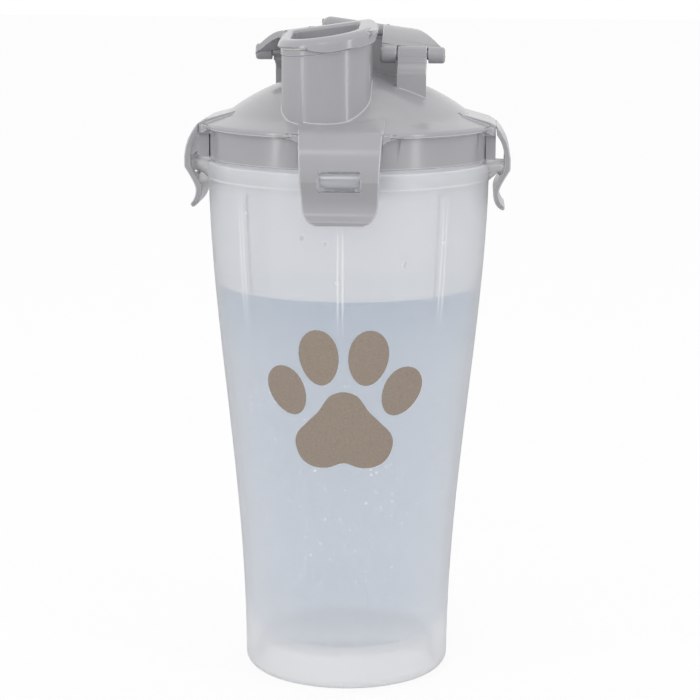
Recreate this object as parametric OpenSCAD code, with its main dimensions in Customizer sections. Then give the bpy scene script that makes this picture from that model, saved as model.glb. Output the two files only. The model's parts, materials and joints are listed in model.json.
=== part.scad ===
// Two-chamber travel cup with a domed snap lid, two spouts under flip caps and four side clips.
// Millimetres. +Z is up, and the origin is on the ground at the centre of the base.
// The front is -Y. The lid's top repeats after half a turn about Z.

/* [Cup] */
// Height of the cup's rim above the ground
cup_h = 197.5; // [170:0.5:230]
// Outer radius just above the ground
base_r = 37.2; // [33:0.1:40]
// Outer radius of the wall at the shoulder
top_r = 50.1; // [47:0.1:54]
// How low the wall starts to flare: 1 is even, more is later
flare = 1.1; // [1:0.05:1.4]
// Wall thickness
wall_t = 2; // [1.6:0.1:2.6]
// Floor thickness
floor_t = 3; // [2.4:0.1:5]
// Radius of the rounded base edge
base_fillet = 4; // [3:0.5:6]
// Depth of the hollow under the floor
foot_h = 11; // [8:0.5:14]
// Width of the ring that the cup stands on
foot_w = 5.9; // [5:0.1:8]
// Distance from the rim down to the shoulder
neck_h = 11; // [9.5:0.5:12]
// Step from the wall in to the neck
shoulder_w = 2.2; // [2:0.1:2.6]
// Height of the raised band under the shoulder
band_h = 6; // [4:0.5:9]
// Number of ribs inside the wall
rib_n = 8; // [4:4:12]
// Width of an inner rib
rib_w = 2; // [1:0.1:3]
// Length of an inner rib
rib_l = 48; // [20:1:70]

/* [Chambers] */
// Thickness of the panel between the chambers
divider_t = 2; // [1.6:0.1:3]
// Depth of the rails that guide the panel
rail_d = 2.2; // [1.5:0.1:3]
// Thickness of the lid gasket
gasket_t = 2.1; // [1.6:0.1:3]

/* [Lid] */
// Wall thickness of the lid
lid_t = 1.7; // [1.5:0.1:2]
// Play between the cup's neck and the lid's skirt
lid_fit = 0.4; // [0.3:0.05:0.6]
// Distance from the rim down to the skirt's lower edge
skirt_h = 9.7; // [7:0.1:9.8]
// How far the flange's lip stands out past the skirt
lip_w = 1.8; // [1.4:0.1:2.2]
// Height of the lip
lip_h = 1.8; // [1.6:0.1:2.2]
// Outer radius of the ball that the dome is cut from
dome_r = 70; // [62:1:85]
// Width of the flange from the skirt in to the dome's foot
flange_w = 6.5; // [6:0.1:7.5]

/* [Spouts] */
// Outer radius of a spout
spout_r = 15.2; // [14:0.1:16]
// Wall thickness of a spout
spout_t = 1.5; // [1.2:0.1:1.8]
// Length of a spout from its round front to its flat back
spout_l = 35.7; // [33:0.1:37]
// Distance from the centre plane to a spout's flat back
spout_gap = 9.5; // [8:0.1:10.5]
// Sideways offset of a spout from the centre
spout_off = 6.25; // [4:0.05:7]
// Tilt of a spout's mouth
mouth_tilt = 8; // [4:0.5:10]
// How far a spout's mouth also leans towards its round front
mouth_lean = 5; // [0:0.5:6]
// Height of the collar round a spout's mouth
collar_h = 1.9; // [1.5:0.1:4]
// How far the collar stands out
collar_w = 0.3; // [0.3:0.05:0.6]

/* [Flip caps] */
// Height of a cap's top above the dome's crown
cap_rise = 14.6; // [13:0.1:20]
// Thickness of a cap's plate
cap_t = 2.4; // [1.8:0.1:3]
// Thickness of a cap's skirt
cap_skirt_t = 0.8; // [0.7:0.05:1.2]
// Play between a cap's skirt and the collar
cap_fit = 0.5; // [0.45:0.05:0.8]
// Depth of a cap's skirt at the hinge end
skirt_low = 0.2; // [0.1:0.1:2]
// Depth of a cap's skirt at the thumb
skirt_deep = 5.4; // [4.5:0.1:6.5]
// Depth of the hollow in a cap
dish_d = 5.6; // [4:0.1:6.5]
// Wall thickness of the plug under a cap
plug_t = 1.4; // [1.2:0.1:1.8]
// Thickness of a cap's seal
seal_t = 0.8; // [0.6:0.1:1.2]
// Distance from the centre plane to a cap's hinge
hinge_y = 8; // [7:0.5:9]
// Height of the hinges above the dome's crown
hinge_rise = 5.8; // [5:0.1:8]
// Length of a cap's barrel from end to end
barrel_l = 22.8; // [20:0.2:25]
// Radius of a cap's barrel
barrel_r = 2.85; // [2.7:0.05:3.2]
// Radius of the pin inside the hook
pin_r = 1.6; // [1.3:0.05:1.8]
// Width of the lid's hook
hook_w = 10.1; // [8:0.1:12]
// Wall thickness of the hook's curl
hook_t = 1.45; // [1.2:0.05:1.6]

/* [Clips] */
// Width of a clip at its hinge
clip_w = 28.2; // [26:0.1:30]
// Width of a clip at its tip
clip_tip_w = 25.6; // [22:0.1:27]
// Thickness of a clip
clip_t = 2; // [1.6:0.1:2.2]
// Length of a clip from hinge to tip
clip_h = 30.4; // [29:0.1:33]
// How far a clip bulges out past its hinge
clip_bulge = 5.2; // [4.8:0.05:6]
// Corner radius at a clip's tip
clip_corner = 6; // [4:0.1:7]
// Width of the window in a clip
window_w = 14; // [12:0.1:16]
// Height of the window in a clip
window_h = 7.2; // [6.8:0.1:8]
// Play round a lug in its window
lug_fit = 0.4; // [0.3:0.05:0.8]
// Height of a lug
lug_h = 4.3; // [3.5:0.1:4.6]

/* [Paw print] */
// Height of the print's middle above the ground
paw_z = 107.5; // [80:0.5:125]
// How far the print sits to the right of the middle
paw_x = 1.1; // [-2:0.1:2]
// Width across the outer toes
paw_w = 53.2; // [35:0.1:56]
// Thickness of the ink
ink_t = 0.12; // [0.1:0.01:0.3]

/* [Hidden] */
$fn = 96;
eps = 0.01;
air = 0.1;               // gap between pieces that only rest on each other

frost = [0.86, 0.88, 0.91, 0.6];
grey = [0.66, 0.66, 0.67];
silicone = [0.88, 0.88, 0.87];
taupe = [0.63, 0.58, 0.53];

// Cup heights and radii
shoulder_z = cup_h - neck_h;
band_z = shoulder_z - band_h;
neck_r = top_r - shoulder_w;
floor_z = foot_h + floor_t;                // top of the floor
floor_r = 6;                               // rounding between the floor and the wall
band_w = 0.25;           // the raised band stands out this far
edge_r = 0.8;            // rounding of the rim and the shoulder
wall_steps = 24;
rib_d = 0.8;
rail_w = 1.4;
rail_play = 0.2;

// Lid heights and radii
under_z = cup_h + gasket_t + 2 * air;      // underside of the flange
skirt_in_r = neck_r + lid_fit;
lid_r = skirt_in_r + lid_t;
lip_r = lid_r + lip_w;
lip_z = under_z + 0.4;                     // top of the lip
dome_foot_r = lid_r - flange_w;
dome_foot_z = under_z + 3.54;
dome_z = dome_foot_z - sqrt(pow(dome_r, 2) - pow(dome_foot_r, 2));
crown_z = dome_z + dome_r;
plug_ring_r = dome_foot_r + 1;             // ring inside the neck that holds the gasket
plug_ring_h = 4.3;
gasket_in_r = plug_ring_r + 0.3;
gasket_w = 3.2;                            // width of the gasket's straight bar
channel_w = gasket_w + 0.3;                // the bar's channel under the lid's inner wall
channel_t = 1;

// Spouts: local x, y and z, with z = 0 on the tilted top of the cap
spout_x = -spout_off;
spout_y = -spout_gap - spout_l + spout_r;
spout_back = spout_l - spout_r;            // flat back, from the centre of the round front
spout_corner = 6;
spout_in_r = spout_r - spout_t;
cap_z = crown_z + cap_rise;
mouth_w = -(cap_t + seal_t + 2 * air);     // mouth plane, below the cap's top
line_up = 5;                               // depth at which the tilted plug and the spout line up
rim_up = 1.5;                              // depth at which the cap's rounded rim and its skirt line up
collar_r = spout_r + collar_w;
cap_in_r = collar_r + cap_fit;
cap_r = cap_in_r + cap_skirt_t;
cap_back = spout_back + 1.5;
cap_corner = 4.2;
cap_round = 3;                             // rounding of the cap's top edge
plug_r = spout_in_r - 0.8;
plug_back = spout_back - spout_t - 1.5;    // the plug swings, so its back has more room
plug_corner = 3.4;
dish_r = plug_r - plug_t;
dish_round = 1.2;
plug_h = dish_d + 1.4;
thumb_w = 0.6;                             // how far the thumb edge stands out past the skirt

// Hinges, for the front cap
pin_play = 0.05;
knuckle_gap = 0.5;
hinge_x = -(-spout_off + spout_r + 2.25 + barrel_l / 2);
hinge_z = crown_z + hinge_rise;
hook_r = pin_r + pin_play + hook_t;
hook_open = 80;                            // angle left open in the curl
strap_t = 2;                               // thickness of the strap that carries the curl
arm_t = 2.4;

// Clips: r is measured from the centre of the cup, and heights from the hinge
hinge_gap = 0.3;
tab_r = lip_r + 0.4;
clip_axis_r = tab_r + hinge_gap / 2;
pad_w = clip_w - 3;
tab_slope = 15.5;                          // slope of a tab's top, in degrees
flare_w = 4.6;                             // reach of the lip's flare beside a tab, and its depth
flare_h = 1.7;
lug_w = window_w - 2 * lug_fit;
lug_z = cup_h - 12.6;                      // middle of a lug
window_z = lug_z - lip_z;                  // middle of a window, from the hinge
lug_r = clip_axis_r + clip_bulge - 1.3;

// ---- curves ----

// Points on an arc from angle a0 to a1
function arc(x, y, r, a0, a1, n = 6) =
    [for (i = [0:n]) let (a = a0 + (a1 - a0) * i / n) [x + r * cos(a), y + r * sin(a)]];

// Points on a curve from a to c that heads for b, without its first point
function bend(a, b, c, n = 6) =
    [for (i = [1:n]) let (t = i / n) (1 - t) * (1 - t) * a + 2 * t * (1 - t) * b + t * t * c];

// A closed smooth curve through the points p
function loop_through(p, n = 5) = let (m = len(p))
    [for (i = [0:m - 1], k = [0:n - 1])
        let (t = k / n, a = p[(i + m - 1) % m], b = p[i], c = p[(i + 1) % m], d = p[(i + 2) % m])
        0.5 * (2 * b + (c - a) * t + (2 * a - 5 * b + 4 * c - d) * t * t
               + (3 * b - a - 3 * c + d) * t * t * t)];

function smooth(t) = t * t * (3 - 2 * t);

// The outline of a strip t thick along the points p
function ribbon(p, t) = let (m = len(p) - 1,
    side = [for (i = [0:m]) let (d = p[min(i + 1, m)] - p[max(i - 1, 0)]) [-d[1], d[0]] / norm(d) * t / 2])
    concat([for (i = [0:m]) p[i] + side[i]], [for (i = [m:-1:0]) p[i] - side[i]]);

// Outer radius of the cup's wall at height z
function cup_r(z) = base_r + (top_r - base_r) * smooth(pow(min(1, z / shoulder_z), flare));

// Heights at which the wall is drawn, from the base fillet to the band
wall_zs = [for (i = [0:wall_steps]) base_fillet + (band_z - base_fillet) * i / wall_steps];

// ---- cup ----

// Half section of the space inside the cup, shrunk by gap
function inside(gap = 0) = concat(
    [[0, floor_z + gap]],
    arc(cup_r(floor_z + floor_r) - wall_t - floor_r - gap, floor_z + floor_r + gap, floor_r, -90, 0, 8),
    [for (z = wall_zs) if (z > floor_z + floor_r + 1) [cup_r(z) - wall_t - gap, z]],
    [[top_r - wall_t - gap, shoulder_z - 2.5], [neck_r - wall_t - gap, shoulder_z]]);

module cup_wall() {
    rotate_extrude() difference() {
        polygon(concat(
            [[0, foot_h]], arc(base_r - foot_w - 3, foot_h - 3, 3, 90, 0),
            [[base_r - foot_w + 0.2, 0.4], [base_r - foot_w + 0.6, 0]],
            arc(cup_r(base_fillet) - base_fillet, base_fillet, base_fillet, -90, 0),
            [for (z = wall_zs) if (z > base_fillet) [cup_r(z), z]],
            [[top_r + band_w, band_z + band_w]],
            arc(top_r + band_w - edge_r, shoulder_z - edge_r, edge_r, 0, 90),
            [[neck_r, shoulder_z]],
            arc(neck_r - edge_r, cup_h - edge_r, edge_r, 0, 90),
            [[0, cup_h]]));
        polygon(concat(inside(), [[neck_r - wall_t, cup_h + eps], [0, cup_h + eps]]));
    }
}

// A rib on the inside of the wall, towards +X, w wide and d deep, between two heights
module wall_rib(w, d, z0, z1) {
    zs = concat([z0], [for (z = wall_zs) if (z > z0 + 1 && z < z1 - 1) z], [z1]);
    rotate([90, 0, 0]) linear_extrude(w, center = true) polygon(concat(
        [[cup_r(z0) - wall_t / 2, z0]],
        [for (z = zs) [cup_r(z) - wall_t - d * min(1, (z - z0) / 12), z]],
        [for (i = [len(zs) - 1:-1:1]) [cup_r(zs[i]) - wall_t / 2, zs[i]]]));
}

// A lug on the wall, towards +X, for a clip's window to catch on
module lug() {
    z0 = lug_z - lug_h / 2;
    z1 = lug_z + lug_h / 2;
    intersection() {
        rotate([90, 0, 0]) linear_extrude(lug_w, center = true) polygon([
            [top_r - wall_t / 2, z1], [lug_r - 0.8, z1 - 0.3], [lug_r, z1 - 1.1], [lug_r, z0 + 0.9],
            [lug_r - 0.9, z0], [lug_r - 3.4, z0], [top_r, z0 - 2.4], [top_r - wall_t / 2, z0 - 2.4]]);
        rotate([90, 0, 90]) linear_extrude(lug_r + 1) {
            translate([-lug_w / 2, lug_z - 0.2]) square([lug_w, lug_h]);
            translate([-lug_w / 2 + 1.7, z0 - 3]) square([lug_w - 3.4, lug_h + 3]);
            for (s = [-1, 1]) translate([s * (lug_w / 2 - 1.7), z0 + 1.7]) circle(1.7, $fn = 32);
        }
    }
}

module cup_body() {
    color(frost) {
        cup_wall();
        for (i = [0:rib_n - 1]) if (i % (rib_n / 2) != rib_n / 4)
            rotate([0, 0, -90 + i * 360 / rib_n]) wall_rib(rib_w, rib_d, band_z - rib_l, band_z);
        for (side = [0, 180], s = [-1, 1])
            rotate([0, 0, side]) translate([0, s * (divider_t / 2 + rail_play + rail_w / 2), 0])
                wall_rib(rail_w, rail_d, floor_z + 8, band_z);
        for (i = [0:3]) rotate([0, 0, i * 90]) lug();
    }
}

module divider_panel() {
    half = concat(inside(0.25), [[neck_r - wall_t - 0.25, cup_h - air]]);
    color(frost) rotate([90, 0, 0]) linear_extrude(divider_t, center = true)
        polygon(concat(half, [for (i = [len(half) - 1:-1:0]) [-half[i][0], half[i][1]]]));
}

// ---- paw print ----

// One toe, wide and tall, leaning by an angle: narrower at the end that points at the pad
function toe(x, y, a, b, lean) =
    [for (i = [0:27]) let (t = i * 360 / 28, u = a * cos(t) * (1 + 0.08 * sin(t)), v = b * sin(t))
        [x + u * cos(lean) - v * sin(lean), y + u * sin(lean) + v * cos(lean)]];

module paw_flat() {
    k = paw_w / 53.2;
    // the pad's outline, on its right half from the top down
    pad_half = [[4.3, 2.3], [6.6, -0.3], [8.7, -3.6], [12.2, -7.3], [16.1, -11.8], [16.9, -16], [15, -21],
                [11, -23.7], [5.6, -24]];
    scale([k, k]) {
        for (s = [-1, 1]) {
            polygon(toe(s * 19.7, 3.2, 6.3, 9.1, s * -25));
            polygon(toe(s * 8.5, 15.6, 6.9, 9.9, s * -8));
        }
        polygon(loop_through(concat([[0, 3.6]], pad_half, [[0, -22.2]],
            [for (i = [len(pad_half) - 1:-1:0]) [-pad_half[i][0], pad_half[i][1]]]), 4));
    }
}

module paw_print() {
    zs = [for (z = wall_zs) if (abs(z - paw_z) < paw_w * 0.68) z];
    color(taupe) intersection() {
        translate([paw_x, 0, paw_z]) rotate([90, 0, 0]) linear_extrude(top_r + 5) paw_flat();
        rotate_extrude() polygon(concat(
            [for (z = zs) [cup_r(z), z]],
            [for (i = [len(zs) - 1:-1:0]) [cup_r(zs[i]) + ink_t, zs[i]]]));
    }
}

// ---- D-shaped outlines: round front of radius r, flat back at distance back ----

module dee(r, back, corner) {
    circle(r);
    translate([-r, 0]) square([2 * r, back - corner]);
    translate([corner - r, 0]) square([2 * (r - corner), back]);
    for (s = [-1, 1]) translate([s * (r - corner), back - corner]) circle(corner, $fn = 48);
}

// Carries a section round the same outline: its x is outwards from the outline, its y is up
module dee_rim(r, back, corner) {
    rotate([0, 0, 180]) rotate_extrude(angle = 180) translate([r, 0]) children();
    for (s = [0, 1]) mirror([s, 0, 0]) {
        translate([r, back - corner, 0]) rotate([90, 0, 0]) linear_extrude(back - corner) children();
        translate([r - corner, back - corner, 0])
            rotate_extrude(angle = 90, $fn = 48) translate([corner, 0]) children();
    }
    translate([corner - r, back, 0]) rotate([90, 0, 90]) linear_extrude(2 * (r - corner)) children();
}

// Moves to the front spout: upright, or with z = 0 on the tilted top of its cap
module at_spout() { translate([spout_x, spout_y, 0]) children(); }
module at_cap() {
    translate([spout_x - line_up * sin(mouth_tilt), spout_y - line_up * sin(mouth_lean), cap_z])
        rotate([mouth_lean, -mouth_tilt, 0]) children();
}
module above(w) { at_cap() translate([-40, -40, w]) cube([80, 80, 60]); }

// ---- lid ----

module lid_ring_and_dome() {
    rotate_extrude() polygon(concat(
        [[skirt_in_r, cup_h - skirt_h], [lid_r - 0.3, cup_h - skirt_h], [lid_r, cup_h - skirt_h + 0.3],
         [lid_r, lip_z - lip_h], [lip_r - 0.3, lip_z - lip_h], [lip_r, lip_z - lip_h + 0.3]],
        arc(lip_r - 1.2, lip_z - 0.7, 1.2, 0, 70),
        [for (i = [0:20]) let (a = acos(dome_foot_r / dome_r) * (1 - i / 20) + 90 * i / 20)
            [i == 20 ? 0 : dome_r * cos(a), dome_z + dome_r * sin(a)]],
        [for (i = [20:-1:0]) let (r = dome_r - lid_t - 0.3, foot = plug_ring_r - 1.3,
                                  a = acos(foot / r) * (1 - i / 20) + 90 * i / 20)
            [i == 20 ? 0 : r * cos(a), dome_z + r * sin(a)]],
        [[plug_ring_r - 1.3, cup_h - plug_ring_h + 2], [plug_ring_r - 0.5, cup_h - plug_ring_h + 1],
         [plug_ring_r, cup_h - plug_ring_h + 2], [plug_ring_r, under_z], [skirt_in_r, under_z]]));
}

// The tab that a clip hangs from and the flat pad behind it, towards +X
module clip_seat() {
    tab_in = dome_foot_r - 4.5;
    rotate([90, 0, 0]) linear_extrude(clip_w, center = true) polygon([
        [tab_in, dome_foot_z], [tab_in, lip_z + 1.5 + (lid_r - tab_in) * tan(tab_slope)],
        [lid_r, lip_z + 1.5], [tab_r - 0.6, lip_z + 0.5], [tab_r, lip_z], [tab_r, lip_z - lip_h],
        [lid_r - lid_t / 2, lip_z - lip_h], [lid_r - lid_t / 2, under_z + 0.4],
        [dome_foot_r, under_z + 0.4]]);
    translate([skirt_in_r + lid_t / 4, -pad_w / 2, cup_h - skirt_h + 0.6])
        cube([tab_r - skirt_in_r - lid_t / 4, pad_w, lip_z - lip_h / 2 - cup_h + skirt_h - 0.6]);
    // the lip runs out and down into the sides of the tab
    y = clip_w / 2;
    side_x = sqrt(pow(lip_r, 2) - pow(y + flare_w, 2));
    for (s = [0, 1]) mirror([0, s, 0]) intersection() {
        rotate([90, 0, 90]) linear_extrude(2 * lip_r) polygon(concat(
            [[y + flare_w, lip_z - 0.3], [y - 2, lip_z - 0.3], [y - 2, lip_z - lip_h - flare_h],
             [y, lip_z - lip_h - flare_h]],
            bend([y, lip_z - lip_h - flare_h], [y + 1, lip_z - lip_h - 0.2], [y + flare_w, lip_z - lip_h])));
        linear_extrude(2 * lip_z) difference() {
            polygon(concat([[side_x - 1, y + flare_w], [lid_r - 8, y - 2], [tab_r, y - 2], [tab_r, y]],
                bend([tab_r, y], [side_x + flare_w * tan(asin(y / lip_r)) - 0.4, y + 0.8], [side_x, y + flare_w])));
            circle(skirt_in_r + 0.5);
        }
    }
}

// The inner wall over the divider, with a channel for the gasket's bar
module lid_web() {
    intersection() {
        translate([0, 0, dome_z]) sphere(dome_r - lid_t / 2);
        translate([-plug_ring_r + 0.5, -divider_t / 2, under_z])
            cube([2 * plug_ring_r - 1, divider_t, dome_r]);
    }
    translate([-plug_ring_r + 0.5, -channel_w / 2 - channel_t, under_z])
        cube([2 * plug_ring_r - 1, channel_w + 2 * channel_t, 1.2]);
    for (s = [-1, 1]) translate([0, s * (channel_w + channel_t) / 2, under_z - 0.5])
        cube([2 * plug_ring_r - 2, channel_t, 2.2], center = true);
}

// The front spout's tube and collar, cut off along the tilted mouth
module spout() {
    difference() {
        union() {
            at_spout() translate([0, 0, under_z + 1])
                linear_extrude(cap_z - under_z + 10) dee(spout_r, spout_back, spout_corner);
            intersection() {
                at_spout() translate([0, 0, crown_z])
                    linear_extrude(cap_rise + 10)
                        dee(collar_r, spout_back + collar_w, spout_corner + collar_w);
                above(mouth_w - collar_h);
            }
        }
        above(mouth_w);
    }
}

// What is cut away inside the front spout
module spout_hole() {
    at_spout() translate([0, 0, dome_foot_z + 0.5]) linear_extrude(cap_z - dome_foot_z)
        dee(spout_in_r, spout_back - spout_t, spout_corner - spout_t);
    intersection() {
        at_spout() translate([0, 0, cup_h]) linear_extrude(dome_foot_z - cup_h + 1)
            dee(spout_in_r, spout_back - spout_t, spout_corner - spout_t);
        cylinder(r = plug_ring_r - 2, h = 2 * crown_z);
    }
}

// The lid's hook for the front cap's pin: a strap up from the dome that curls over the pin
module hook() {
    out = hook_r - hook_t / 2;
    start = [out, 0.4];
    knee = [9.2, -6.4];
    mid = concat([start], bend(start, [out + 0.1, -2.4], [out + 2.2, -3.2], 5),
                 bend([out + 2.2, -3.2], [8.6, -4.4], knee, 4), [knee + [0.6, -10]]);
    translate([hinge_x, hinge_y, hinge_z]) difference() {
        rotate([90, 0, 90]) linear_extrude(hook_w, center = true) {
            difference() {
                circle(hook_r, $fn = 48);
                rotate(-90 - hook_open) polygon([[0, 0], [9, 0], [9, 9 * tan(hook_open / 2)],
                    [9 * cos(hook_open), 9 * sin(hook_open)]]);
            }
            polygon(ribbon(mid, strap_t));
        }
        rotate([0, 90, 0]) cylinder(r = pin_r + pin_play, h = hook_w + 1, center = true, $fn = 48);
    }
}

module lid_shell() {
    color(grey) difference() {
        union() {
            difference() {
                union() {
                    lid_ring_and_dome();
                    for (i = [0:3]) rotate([0, 0, i * 90]) clip_seat();
                    for (a = [0, 180]) rotate([0, 0, a]) {
                        spout();
                        hook();
                    }
                }
                // the room under the dome
                intersection() {
                    translate([0, 0, dome_z]) sphere(dome_r - lid_t - 0.3);
                    translate([0, 0, under_z - 8]) cylinder(r = plug_ring_r - 1.3, h = dome_r);
                }
            }
            lid_web();
        }
        for (a = [0, 180]) rotate([0, 0, a]) spout_hole();
        // the divider and the gasket's bar pass through the inner ring
        translate([0, 0, cup_h - plug_ring_h + (gasket_t + plug_ring_h) / 2])
            cube([2 * gasket_in_r, channel_w, gasket_t + plug_ring_h + 4 * air], center = true);
    }
}

module lid_gasket() {
    color(silicone) translate([0, 0, cup_h + air]) linear_extrude(gasket_t) {
        difference() {
            circle(skirt_in_r - 0.2);
            circle(gasket_in_r);
        }
        square([2 * gasket_in_r + 1, gasket_w], center = true);
    }
}

// ---- flip caps ----

// Lower edge of a cap's skirt, seen from the front: short at the hook side, deep at the thumb
function skirt_edge(x) = let (t = (x + cap_r) / (2 * cap_r), dip = max(0, min(1, (t - 0.22) / 0.34)),
    last = max(0, min(1, (t - 0.7) / 0.3)))
    -cap_t - skirt_low + (skirt_low + cap_t - skirt_deep) * (0.8 * smooth(dip) + 0.2 * smooth(last));

// The tilted top of a cap with its rounded rim, which widens further down
module cap_top() {
    at_cap() translate((line_up - rim_up) * [tan(mouth_tilt), tan(mouth_lean), 0]) {
        dee_rim(cap_r + 0.1, cap_back + 0.1, cap_corner) polygon(concat(
            [[-cap_round - 0.5, -12], [-cap_round - 0.5, 0]],
            arc(-cap_round, -cap_round, cap_round, 90, 12, 8), [[2, -12]]));
        translate([0, 0, -12]) linear_extrude(12)
            dee(cap_r - cap_round, cap_back - cap_round, cap_corner - cap_round);
    }
}

// The cap's plate with its skirt, which stands upright like the spout
module cap_shell() {
    difference() {
        intersection() {
            at_spout() translate([0, 0, crown_z]) linear_extrude(cap_rise + 10) dee(cap_r, cap_back, cap_corner);
            cap_top();
        }
        difference() {
            at_spout() translate([0, 0, crown_z - 1]) linear_extrude(cap_rise + 10)
                dee(cap_in_r, cap_back - cap_skirt_t, cap_corner - cap_skirt_t);
            above(-cap_t);
        }
        // the skirt's wavy lower edge
        at_cap() rotate([90, 0, 0]) linear_extrude(4 * cap_r, center = true) polygon(concat(
            [[cap_r + 5, -30], [-cap_r - 5, -30], [-cap_r - 5, skirt_edge(-cap_r)]],
            [for (i = [0:20]) let (x = -cap_r + 2 * cap_r * i / 20) [x, skirt_edge(x)]],
            [[cap_r + 5, skirt_edge(cap_r)]]));
    }
}

// The thin edge that the thumb pushes up
module thumb_edge() {
    at_cap() intersection() {
        translate([0.9, 0, -cap_t]) linear_extrude(1.6) dee(cap_r + thumb_w, cap_back, cap_corner);
        translate([cap_r - 3, -7, -cap_t]) cube([8, 14, cap_t]);
    }
}

module cap_plate() {
    difference() {
        union() {
            cap_shell();
            thumb_edge();
            at_cap() translate([0, 0, -plug_h]) linear_extrude(plug_h - 1) dee(plug_r, plug_back, plug_corner);
        }
        // the dish, with a rounded edge
        at_cap() {
            translate([0, 0, -dish_d]) linear_extrude(dish_d + 1)
                dee(dish_r, plug_back - plug_t, plug_corner - plug_t);
            dee_rim(dish_r, plug_back - plug_t, plug_corner - plug_t) polygon(concat(
                [[-eps, -dish_round]], arc(dish_round, -dish_round, dish_round, 180, 90), [[-eps, 0.5]],
                [[-eps, 0]]));
        }
    }
}

// The arm from the plate down to the barrel: an S-shaped sheet, trimmed to its plan
module cap_arm() {
    y0 = spout_back;
    y1 = hinge_y - spout_y;
    drop = cap_z - hinge_z + (hinge_x - spout_x) * tan(mouth_tilt) + y1 * tan(mouth_lean) - 0.5;
    top = [for (i = [0:12]) let (t = i / 12) [y0 + (y1 - y0) * t, -(drop - arm_t / 2) * pow(t, 1.5)]];
    intersection() {
        at_cap() rotate([90, 0, 90]) linear_extrude(80, center = true) polygon(concat(
            [[y0 - 3, 0]], top, [for (i = [12:-1:0]) top[i] - [0, arm_t]], [[y0 - 3, -arm_t]]));
        linear_extrude(2 * cap_z) polygon([
            [spout_x - cap_r + 1.6, spout_y + cap_back - 6], [hinge_x - barrel_l / 2 + 0.6, hinge_y - 3],
            [hinge_x - barrel_l / 2 + 0.6, hinge_y], [hinge_x + barrel_l / 2 - 0.6, hinge_y],
            [hinge_x + barrel_l / 2 - 0.6, spout_y + cap_back - 2]]);
    }
}

// A cap's barrel: two round-ended knuckles and the pin between them
module cap_barrel() {
    translate([hinge_x, hinge_y, hinge_z]) rotate([0, 90, 0]) {
        for (s = [0, 1]) mirror([0, 0, s]) translate([0, 0, hook_w / 2 + knuckle_gap]) rotate_extrude($fn = 48)
            let (l = barrel_l / 2 - hook_w / 2 - knuckle_gap) polygon(concat(
                [[0, 0], [barrel_r, 0]], arc(barrel_r - 1, l - 1, 1, 0, 90, 4), [[0, l]]));
        cylinder(r = pin_r, h = hook_w + 2 * knuckle_gap + 2, center = true, $fn = 48);
    }
}

module flap() {
    color(grey) {
        cap_plate();
        difference() {
            cap_arm();
            translate([hinge_x, hinge_y, hinge_z]) rotate([0, 90, 0])
                cylinder(r = hook_r + 0.4, h = hook_w + 2 * knuckle_gap, center = true, $fn = 48);
        }
        cap_barrel();
    }
}

module flap_seal() {
    color(silicone) at_cap() translate([0, 0, -cap_t - seal_t - air]) linear_extrude(seal_t) difference() {
        dee(spout_r + 0.2, spout_back, spout_corner);
        dee(plug_r + air, plug_back + air, plug_corner + air);
    }
}

// ---- clips ----

// Side outline of a clip: x is outwards from its hinge, y is up
function clip_outline() = let (
    h = hinge_gap / 2, b = clip_bulge, t = clip_t, top_z = window_z + window_h / 2,
    neck = [h + 1.1, -clip_h + 6.8], knee = [b - 0.3, window_z - 0.6], tip = [neck[0] + 2.1, -clip_h + 1.7])
    concat(
        [[h, 0]], bend([h, 0], [h + 1.15, -0.9], [0.57 * b, -3.9]),
        bend([0.57 * b, -3.9], [b - 0.5, -6.8], [b, top_z]),
        [[b, window_z + 0.3]], bend([b, window_z + 0.3], [b, window_z - 0.3], knee, 3),
        bend(knee, [neck[0], neck[1] + 2], neck), bend(neck, [neck[0], neck[1] - 2.9], tip),
        bend(tip, tip + [0.4, -1.4], [tip[0] - 0.7, -clip_h], 4),
        bend([tip[0] - 0.7, -clip_h], [neck[0] - t, neck[1] - 4.6], [neck[0] - t, neck[1]]),
        bend([neck[0] - t, neck[1]], [neck[0] - t, neck[1] + 2.6], [knee[0] - 2.6, knee[1] - 1.2]),
        [[b - 2.2, window_z + 1], [b - 2.1, top_z]],
        bend([b - 2.1, top_z], [b - 2.5, -6.6], [h + 0.9, -4.4]), [[h + 0.15, -3.3], [h, -2.2]]);

module clip() {
    color(grey) translate([clip_axis_r, 0, lip_z]) difference() {
        intersection() {
            rotate([90, 0, 0]) linear_extrude(clip_w, center = true) polygon(clip_outline());
            rotate([90, 0, 90]) linear_extrude(2 * clip_bulge + 10, center = true) polygon(concat(
                [[clip_w / 2, 0.1]],
                arc(clip_tip_w / 2 - clip_corner, clip_corner - clip_h, clip_corner, 0, -90),
                arc(clip_corner - clip_tip_w / 2, clip_corner - clip_h, clip_corner, -90, -180),
                [[-clip_w / 2, 0.1]]));
        }
        translate([clip_bulge / 2, 0, window_z]) cube([3 * clip_bulge, window_w, window_h], center = true);
    }
}

cup_body();
divider_panel();
paw_print();
lid_shell();
lid_gasket();
rotate([0, 0, -90]) clip();  // clip_front
clip();  // clip_right
rotate([0, 0, 90]) clip();  // clip_back
rotate([0, 0, 180]) clip();  // clip_left
flap();  // flap_front
rotate([0, 0, 180]) flap();  // flap_back
flap_seal();  // flap_seal_front
rotate([0, 0, 180]) flap_seal();  // flap_seal_back
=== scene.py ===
# %% [markdown]
# # A travel cup of water for a dog
# The solids come from the CAD model: a tapered cup, a domed lid with two spouts under flip caps,
# and four side clips. This notebook gives them their finish. It is a study of one hard thing,
# a frosted plastic wall with water behind it, and of a few easy ones round it.
# Everything is in metres, in the CAD model's own frame: +Z is up and -Y is the front.

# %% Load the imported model
import json
import math

import bmesh
import bpy
from mathutils import Matrix, Vector
from mathutils.bvhtree import BVHTree


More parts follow.
